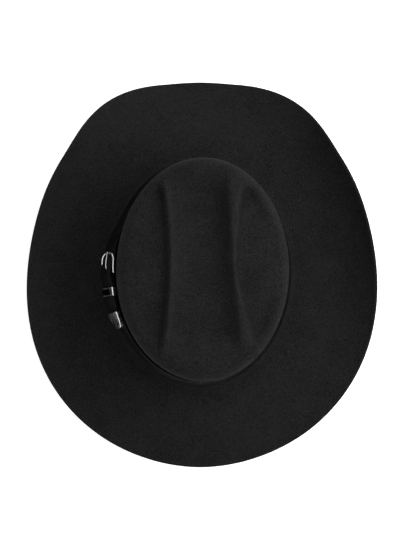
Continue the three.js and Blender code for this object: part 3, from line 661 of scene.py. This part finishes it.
def build_band():
    bend = EYE_RADIUS + SKIVED / 2
    top = BAR_HEIGHT + bend
    rows = [(x, SKIVED / 2, SKIVED) for x in np.linspace(FOLD_LENGTH, 1, 6)]
    for angle in np.radians(np.linspace(-90, -270, 25)):
        rows.append((bend * math.cos(angle), BAR_HEIGHT + bend * math.sin(angle), SKIVED))
    for x in np.linspace(1.2, 12, 20):
        fall = mix(top, STRAP_THICKNESS / 2, smooth(x, *FOLD_FALL))
        rows.append((x, float(fall), float(mix(SKIVED, STRAP_THICKNESS, smooth(x, *SKIVE_END)))))
    rows += [(x, STRAP_THICKNESS / 2, STRAP_THICKNESS) for x in np.linspace(13, LOOP - 19, 420)]
    overlap = np.linspace(-18, STRAP_END, 110)
    rows += [(LOOP + x, float(billet_height(x)), STRAP_THICKNESS) for x in overlap]
    stations = [(x, z, thick, 0, STRAP_WIDTH) for x, z, thick in rows]
    section = rounded_section((0.36, 0.036))
    bar = flat_bar(stations, section)
    band = piece("leather_band", *grid(on_strap(bar), False, True, strap_uv(stations, section), caps=True))
    boolean(band, strap_block("eye_slot", EYE_SLOT), "DIFFERENCE")
    boolean(band, round_ended_cutter("prong_hole", PRONG_HOLE), "DIFFERENCE")
    shade(band, 45)


def round_ended_cutter(name, slot, steps=8):
    """A cutter through the middle of the strap, for a slot with round ends."""
    half, outline = slot["half"], []
    for centre, start in ((slot["x"][1] - half, -90), (slot["x"][0] + half, 90)):
        for a in np.radians(np.linspace(start, start + 180, steps)):
            outline.append([centre + half * math.cos(a), STRAP_WIDTH / 2 + half * math.sin(a), 0])
    rows = np.stack([np.array(outline) + [0, 0, z] for z in slot["z"]])
    return piece(name, *grid(on_strap(rows), False, True, caps=True))


build_band()
finish_piece("leather_band", LEATHER_LOOK, "black_leather", "hat", "hat_band")


# ---- Buckle, keeper and tip -----------------------------------------------------------------


def build_frame():
    middle = STRAP_WIDTH / 2
    low, high = middle - FRAME_SPREAD, middle + FRAME_SPREAD
    bow = [(-FRAME_STRAIGHT - FRAME_ROUND * math.cos(a), middle + FRAME_SPREAD * math.sin(a), FRAME_HEIGHT)
           for a in np.radians(np.linspace(-90, 90, 9))]
    arms = [[(0, y, BAR_HEIGHT), (-FRAME_STRAIGHT / 2, y, FRAME_HEIGHT - FRAME_DROP)] for y in (low, high)]
    path = spline([*arms[0], *bow, *arms[1][::-1]], 150)
    wire = swept(path, FRAME_RADIUS, 24)
    piece("buckle", *grid(on_strap(wire), False, True, caps=True))
    bar = [(0, y, BAR_HEIGHT) for y in np.linspace(low, high, 40)]
    piece("heel_bar", *grid(on_strap(swept(bar, BAR_RADIUS, 24)), False, True, caps=True))
    boolean(made["buckle"], made["heel_bar"], "UNION")
    shade(made["buckle"], 50)


PRONG_TAPER, TAPER_FROM = 0.62, (0.55, 1)  # the end's share of the radius, and where it narrows


def build_prong():
    middle = STRAP_WIDTH / 2
    turn = np.linspace(0, 2 * math.pi, 48, endpoint=False)
    half, soft = PRONG_WIDTH / 2, PRONG_SOFT
    outline = np.array([(EYE_RADIUS, -half), (PRONG_RING - soft, -half), (PRONG_RING, -half + soft),
                        (PRONG_RING, half - soft), (PRONG_RING - soft, half), (EYE_RADIUS, half)])
    radius, y = outline[None, :, 0], middle + outline[None, :, 1] + 0 * turn[:, None]
    ring = np.stack([radius * np.cos(turn)[:, None], y, BAR_HEIGHT + radius * np.sin(turn)[:, None]], -1)
    piece("prong", *grid(on_strap(ring), True, True))
    path = spline([(x, middle, z) for x, z in PRONG_PATH], 60)
    radius = PRONG_RADIUS * mix(1, PRONG_TAPER, smooth(np.linspace(0, 1, 60), *TAPER_FROM))
    piece("prong_arm", *grid(on_strap(swept(path, radius, 20)), False, True, caps=True))
    boolean(made["prong"], made["prong_arm"], "UNION")
    shade(made["prong"], 40)


def rounded_loop(low, high, bottom, top, radius, steps):
    """(y, z) points of a rounded rectangle, anticlockwise from its upper right corner."""
    centres = [(high - radius, top - radius, 0), (low + radius, top - radius, 90),
               (low + radius, bottom + radius, 180), (high - radius, bottom + radius, 270)]
    return np.array([(cy + radius * math.cos(a), cz + radius * math.sin(a))
                     for cy, cz, start in centres for a in np.radians(np.linspace(start, start + 90, steps))])


BEAD_WIDTH, BEAD_RISE, BEAD_POWER = 1.5, 0.32, 0.6
BEAD_ROWS = np.array([0, 0.12, 0.35, 0.7, 1.0, 1.25, 1.5, 1.75])  # from either end of the keeper
RECESS_ROWS, RECESS_START = 12, 2.0
RECESS_BACK = 1.5  # the recess is on the outer face, above this height over the crown
BLOCK_START, BLOCK_STEP = 10.0, 0.3  # it stops here, below a solid upper end
INNER_CORNER, OUTER_CORNER, CORNER_STEPS = 0.35, 1.0, 6


def build_keeper():
    """The keeper: a loop with a bead along each edge and a recess between. Says which faces are recess."""
    low, high, top = -GAP, STRAP_WIDTH + GAP, 2 * STRAP_THICKNESS + 2 * GAP
    wall_top = top + KEEPER_WALL
    inner = rounded_loop(low, high, low, top, INNER_CORNER, CORNER_STEPS)
    outer = rounded_loop(
        low - KEEPER_WALL, high + KEEPER_WALL, low - KEEPER_BACK, wall_top, OUTER_CORNER, CORNER_STEPS
    )
    block = (BLOCK_START, BLOCK_START - BLOCK_STEP)
    inner = np.insert(inner, CORNER_STEPS, [(y, top) for y in block], axis=0)
    outer = np.insert(outer, CORNER_STEPS, [(y, wall_top) for y in block], axis=0)
    middle = np.linspace(RECESS_START, KEEPER_LENGTH - RECESS_START, RECESS_ROWS)
    lengths = np.concatenate([BEAD_ROWS, middle, KEEPER_LENGTH - BEAD_ROWS[::-1]])
    away = (outer - inner) / 2
    away /= np.linalg.norm(away, axis=1, keepdims=True)
    clear = outer[:, 0] < BLOCK_START
    front = (np.clip((outer[:, 1] - RECESS_BACK) / RECESS_BACK, 0, 1) * clear)[:, None]
    rows = []
    for x in lengths:
        share = min(min(x, KEEPER_LENGTH - x) / BEAD_WIDTH, 1)
        bead = max(math.sin(math.pi * share), 0) ** BEAD_POWER if share < 1 else 0
        rows.append(slice_at(x, outer - away * BEAD_RISE * (1 - bead) * front))
    points = np.stack([*rows, slice_at(KEEPER_LENGTH, inner), slice_at(0, inner)])
    points[..., 0] += KEEPER_START
    piece("keeper", *grid(on_strap(points), True, True))
    shade(made["keeper"], 50)
    recessed = np.zeros(points.shape[:2], int)
    between = (lengths[:-1] > BEAD_WIDTH - 0.1) & (lengths[1:] < KEEPER_LENGTH - BEAD_WIDTH + 0.1)
    recessed[: len(between)] = between[:, None] * ((outer[:, 1] > RECESS_BACK) & clear)[None]
    return recessed.ravel()


def slice_at(x, outline):
    return np.column_stack([np.full(len(outline), x), outline])


TIP_DOME = 0.8  # the tip's outer face is domed this much across the strap


def build_tip():
    middle = STRAP_WIDTH / 2
    half = middle + GAP + TIP_WALL
    thick = STRAP_THICKNESS + 2 * GAP + 2 * TIP_WALL
    rows = [(x, half) for x in np.linspace(0, TIP_STRAIGHT, 24)]
    point = np.radians(np.linspace(3, 88, 40))
    rows += [(TIP_STRAIGHT + TIP_POINT * math.sin(a), half * math.cos(a)) for a in point]
    stations = [(TIP_START + x, TIP_HEIGHT, thick, middle - h, middle + h) for x, h in rows]
    section = rounded_section((0.16, 0.05), 9)
    piece("strap_tip", *grid(on_strap(flat_bar(stations, section, TIP_DOME)), False, True, caps=True))
    room = (TIP_HEIGHT, STRAP_THICKNESS + 2 * GAP, -GAP, STRAP_WIDTH + GAP)
    pocket = [(x, *room) for x in np.linspace(TIP_START - 1, STRAP_END + 0.5, 12)]
    square = rounded_section((0.05, 0.01), 2)
    piece("pocket", *grid(on_strap(flat_bar(pocket, square)), False, True, caps=True))
    boolean(made["strap_tip"], made["pocket"], "DIFFERENCE")
    shade(made["strap_tip"], 45)


build_frame()
finish_piece("buckle", SILVER_LOOK, "silver_plate", "frame", "buckle_frame")
build_prong()
finish_piece("prong", SILVER_LOOK, "silver_plate", "prong", "buckle_prong")
recess = build_keeper()
finish_piece("keeper", SILVER_LOOK, "silver_plate", "keeper", "band_keeper")
made["keeper"].data.materials.append(DARK_SILVER_LOOK)
made["keeper"].data.polygons.foreach_set("material_index", recess)
build_tip()
finish_piece("strap_tip", SILVER_LOOK, "silver_plate", "hat", "band_tip")


def build_tack(name, x):
    path = spline([(x, y, z) for y, z in TACK_PATH], 40)
    radius = TACK_RADIUS + TACK_TWIST * np.cos(np.linspace(0, 20 * math.pi, 40))
    thread = swept(path, radius, 12, up=(1, 0, 0))
    piece(name, *grid(on_strap(thread), False, True, caps=True))


for side, at in (("rear", LOOP / 4), ("right", LOOP / 2), ("front", 3 * LOOP / 4)):
    build_tack(f"tack_{side}", at)
    finish_piece(f"tack_{side}", THREAD_LOOK, "black_thread", "hat", f"band_tack_{side}")


# ---- Inside the hat -------------------------------------------------------------------------


def shell_outline(points, thickness, count):
    """A closed outline `thickness` inwards of a curve through (offset, height) points, with round edges."""
    outer = spline(points, count)
    inner = outer - [thickness, 0]
    half = thickness / 2
    turn = np.radians(np.linspace(0, 180, 7))[1:-1]
    across, out = half * np.cos(turn), half * (0.6 * np.sin(turn) - 0.3)
    top = np.column_stack([outer[-1, 0] - half + across, outer[-1, 1] + out])
    foot = np.column_stack([outer[0, 0] - half - across, outer[0, 1] - out])
    return np.vstack([outer, top, inner[::-1], foot])


def sweat_ripple(turn, offset, height):
    """The leather's upper edge leans a little off the crown here and there."""
    free = smooth(height, 34, SWEAT_TOP)
    lean = 0.5 + 0.3 * np.sin(3 * turn + 0.7) + 0.2 * np.sin(7 * turn + 2.1)
    return offset - 0.7 * free * lean, height


sweat_outline = shell_outline([*SWEAT_CURVE, (SWEAT_OFFSET, SWEAT_TOP)], SWEAT_THICKNESS, 40)
ring_piece("sweat_leather", sweat_outline, sweat_ripple)
finish_piece("sweat_leather", SWEAT_LOOK, "brown_leather", "hat", "sweatband")


def arc(radius, start, end, count):
    return [(REED_OFFSET + radius * math.cos(a), REED_HEIGHT + radius * math.sin(a))
            for a in np.radians(np.linspace(start, end, count))]


ring_piece("reed", arc(REED_RADIUS, 0, 345, 24))
finish_piece("reed", PLASTIC_LOOK, "reed_plastic", "hat", "sweatband_reed")
ring_piece("reed_welt", arc(TAPE_OUTER, 150, 430, 30) + arc(TAPE_INNER, 430, 150, 30), sharp=60)
finish_piece("reed_welt", RIBBON_LOOK, "black_ribbon", "hat", "reed_tape")


def gather(turn, offset, height):
    """Soft upright folds in the lining's side, standing inwards only."""
    up = (height - LINING_FOOT) / (LINING_TOP - LINING_FOOT)
    wave = 0.5 + 0.25 * np.sin(38 * turn + 1.5 * np.sin(3 * turn) + 0.8 * up) + 0.25 * np.sin(61 * turn + 2)
    return offset - 0.9 * wave * (0.25 + 0.75 * up) * (1 - 0.85 * smooth(up, 0.9, 1)), height


lining_heights = np.linspace(LINING_FOOT, LINING_TOP, 24)
side_outline = [(LINING_OFFSET, z) for z in lining_heights]
side_outline += [(LINING_OFFSET - LINING_THICKNESS, z) for z in lining_heights[::-1]]
ring_piece("satin_side", side_outline, gather, sharp=60)
finish_piece("satin_side", SATIN_LOOK, "black_satin", "hat", "lining_side")


def domed_piece(name, long, wide, height, thickness):
    """A thin sheet domed under the crown, to the shape of the hat's inside oval."""
    turn = np.linspace(0, 2 * math.pi, 240, endpoint=False)[:, None]
    share = np.linspace(1, 0, 30)[None]
    x, y = wide * share * np.sin(turn), -long * share * np.cos(turn)
    edge = np.hypot(x / SHOULDER_WIDE, y / SHOULDER_LONG)
    upper = np.stack([x, y, height + TIP_SAG * (1 - edge**2)], -1)
    lower = upper - [0, 0, thickness]
    loop = np.concatenate([upper, lower[:, ::-1]], 1)
    uv = np.concatenate([loop[..., :2], loop[:1, :, :2]])
    uv = np.concatenate([uv, uv[:, :1]], 1)
    return piece(name, *grid(loop, True, True, uv), sharp=60)


inset = -LINING_OFFSET + LINING_THICKNESS + 2 * GAP
tip_long, tip_wide = SHOULDER_LONG - inset, SHOULDER_WIDE - inset
domed_piece("satin_tip", tip_long, tip_wide, LINING_TOP - 1, LINING_THICKNESS)
finish_piece("satin_tip", SATIN_LOOK, "black_satin", "hat", "lining_tip")
shield_height = LINING_TOP - 1 - LINING_THICKNESS - GAP
domed_piece("vinyl_shield", SHIELD_LONG, SHIELD_WIDE, shield_height, SHIELD_THICKNESS)
finish_piece("vinyl_shield", VINYL_LOOK, "clear_vinyl", "hat", "lining_shield")


def on_sweatband(p):
    """x along the band at the rear, y up, z inwards."""
    offset = SWEAT_OFFSET - SWEAT_THICKNESS - 2 * GAP - p[..., 2]
    return wall(math.pi - p[..., 0] / WALL_WIDE, offset, p[..., 1])


BOW_MIDDLE, BOW_REACH, BOW_LIFT, BOW_SWELL = 7.1, 6.9, 0.6, 0.42  # each loop, from the knot
BOW_WAIST, BOW_END = 1.1, 4.3  # half its width at the knot and at its far end
RIBBON_THICKNESS, RIBBON_COLUMNS, RIBBON_CREASE = 0.18, 13, 0.12
RIBBON_WIDTH, LOOP_LENGTH, KNOT_TURN = 7.0, 32.0, 9.0  # for the cloth's threads
KNOT_WIDE, KNOT_TALL, KNOT_DEEP, KNOT_OUT, KNOT_PINCH = 2.0, 3.0, 0.9, 1.2 + GAP + 0.96, 0.07


def bow_loop(way):
    """A flattened loop of narrow ribbon that flares away from the knot on one side."""
    angle = np.linspace(0, 2 * math.pi, 72, endpoint=False)
    x = BOW_MIDDLE - BOW_REACH * np.cos(angle)
    z = BOW_LIFT + BOW_SWELL * np.sin(angle) * (0.35 + 0.65 * smooth(x, 0, 8))
    across = np.linspace(-1, 1, RIBBON_COLUMNS)[None]
    y = BOW_HEIGHT + mix(BOW_WAIST, BOW_END, smooth(x, 0.3, 12))[:, None] * across
    crease = RIBBON_CREASE * np.cos(across * 2.5 * math.pi) * (1 - smooth(x, 0, 9))[:, None]
    sides = []
    for thick in (0.0, RIBBON_THICKNESS):
        side_x = way * (x - thick * np.cos(angle) * 0.5)[:, None] + 0 * across
        side_z = (z - thick * np.sin(angle))[:, None] + crease * np.sin(angle)[:, None]
        sides.append(np.stack([side_x, y, side_z], -1))
    return np.concatenate([sides[0], sides[1][:, ::-1]], 1)


def build_bow():
    points, faces, uvs = [], [], []
    width = np.linspace(0, RIBBON_WIDTH, RIBBON_COLUMNS)
    for way in (-1, 1):
        loop = bow_loop(way)
        length = np.linspace(0, LOOP_LENGTH, len(loop) + 1)
        uv = np.stack(np.meshgrid(length, np.concatenate([width, width[::-1], [0]]), indexing="ij"), -1)
        loop_points, loop_faces, loop_uv = grid(on_sweatband(loop), True, True, uv)
        start = sum(len(p) for p in points)
        faces += [[k + start for k in face] for face in loop_faces]
        points.append(loop_points)
        uvs.append(loop_uv)
    piece("ribbon_loops", np.vstack(points), faces, np.vstack(uvs), sharp=60)


def build_knot():
    """The ribbon wrapped once round the middle of the bow."""
    around = np.linspace(0, 2 * math.pi, 48, endpoint=False)[:, None]
    along = np.radians(np.linspace(-90, 90, 25))[None]
    girth = np.cos(along) * (1 + KNOT_PINCH * np.cos(4 * along) * np.cos(along))
    x = KNOT_WIDE * np.cos(around) * girth
    y = BOW_HEIGHT + KNOT_TALL * np.sin(along) + 0 * around
    z = KNOT_OUT + KNOT_DEEP * np.sin(around) * girth
    lengths = (np.linspace(0, KNOT_TURN, 49), np.linspace(0, 2 * KNOT_TALL, 25))
    uv = np.stack(np.meshgrid(*lengths, indexing="ij"), -1)
    piece("ribbon_knot", *grid(on_sweatband(np.stack([x, y, z], -1)), True, False, uv))


build_bow()
finish_piece("ribbon_loops", RIBBON_LOOK, "black_ribbon", "hat", "bow_loops")
build_knot()
finish_piece("ribbon_knot", RIBBON_LOOK, "black_ribbon", "hat", "bow_knot")


# ---- Studio ---------------------------------------------------------------------------------


AMBIENT = 0.75
LIGHT_TABLE = 0.55  # the pale floor glows a little, like a photographer's light table


FLOOR_HALF, FLOOR_SINK = 12.0, -0.0004


def build_floor():
    mesh = bpy.data.meshes.new("floor")
    corners = [(x * FLOOR_HALF, y * FLOOR_HALF, FLOOR_SINK) for x, y in ((-1, -1), (1, -1), (1, 1), (-1, 1))]
    mesh.from_pydata(corners, [], [[0, 1, 2, 3]])
    floor = bpy.data.objects.new("floor", mesh)
    bpy.context.scene.collection.objects.link(floor)
    s = Surface("pale_floor", (0.92, 0.92, 0.92), 0.8, Specular_IOR_Level=0.1)
    s.colour(s.blend(s.noise(3.0, 2.0), (0.915, 0.915, 0.915), (0.925, 0.925, 0.925)))
    s.shader.inputs["Emission Color"].default_value = (1, 1, 1, 1)
    s.shader.inputs["Emission Strength"].default_value = LIGHT_TABLE
    mesh.materials.append(s.material)


build_floor()

world = bpy.data.worlds.new("studio")
bpy.context.scene.world = world
world.use_nodes = True
background = world.node_tree.nodes["Background"]
background.inputs["Color"].default_value = (1, 1, 1, 1)
background.inputs["Strength"].default_value = AMBIENT


AIM_HEIGHT = 0.05


def area_light(name, azimuth, elevation, distance, size, power):
    """A soft square light. Azimuth 0 is in front of the hat, 90 on the wearer's left."""
    data = bpy.data.lights.new(name, "AREA")
    data.shape, data.size, data.energy = "SQUARE", size, power
    light = bpy.data.objects.new(name, data)
    bpy.context.scene.collection.objects.link(light)
    a, e = math.radians(azimuth), math.radians(elevation)
    way = Vector((math.sin(a) * math.cos(e), -math.cos(a) * math.cos(e), math.sin(e)))
    light.location = way * distance + Vector((0, 0, AIM_HEIGHT))
    light.visible_camera = False
    light.rotation_mode = "QUATERNION"
    light.rotation_quaternion = way.to_track_quat("Z", "Y")


LIGHTS = [  # name, azimuth, elevation, distance, size, power
    ("key", -85, 42, 1.0, 0.6, 5.6),
    ("front_right", -42, 42, 1.0, 0.6, 3.8),
    ("high", -90, 60, 1.0, 0.6, 2.2),
    ("left_high", 105, 58, 1.2, 0.8, 1.0),
]
for row in LIGHTS:
    area_light(*row)

camera_data = bpy.data.cameras.new("camera")
camera_data.lens = 99.5
camera_data.sensor_width = 36
camera_data.clip_start, camera_data.clip_end = 0.05, 50
camera = bpy.data.objects.new("camera", camera_data)
bpy.context.scene.collection.objects.link(camera)
camera.location = (0.0517, 0.0609, 1.5272)
target = Vector((-0.0060, 0.0011, 0.0272))
back = (camera.location - target).normalized()
up = (Vector((0, -1, 0)) - back * -back.y).normalized()
right = up.cross(back)
camera.rotation_mode = "QUATERNION"
camera.rotation_quaternion = Matrix((right, up, back)).transposed().to_quaternion()
bpy.context.scene.camera = camera
bpy.context.scene.view_settings.view_transform = "Standard"

bpy.context.view_layer.update()
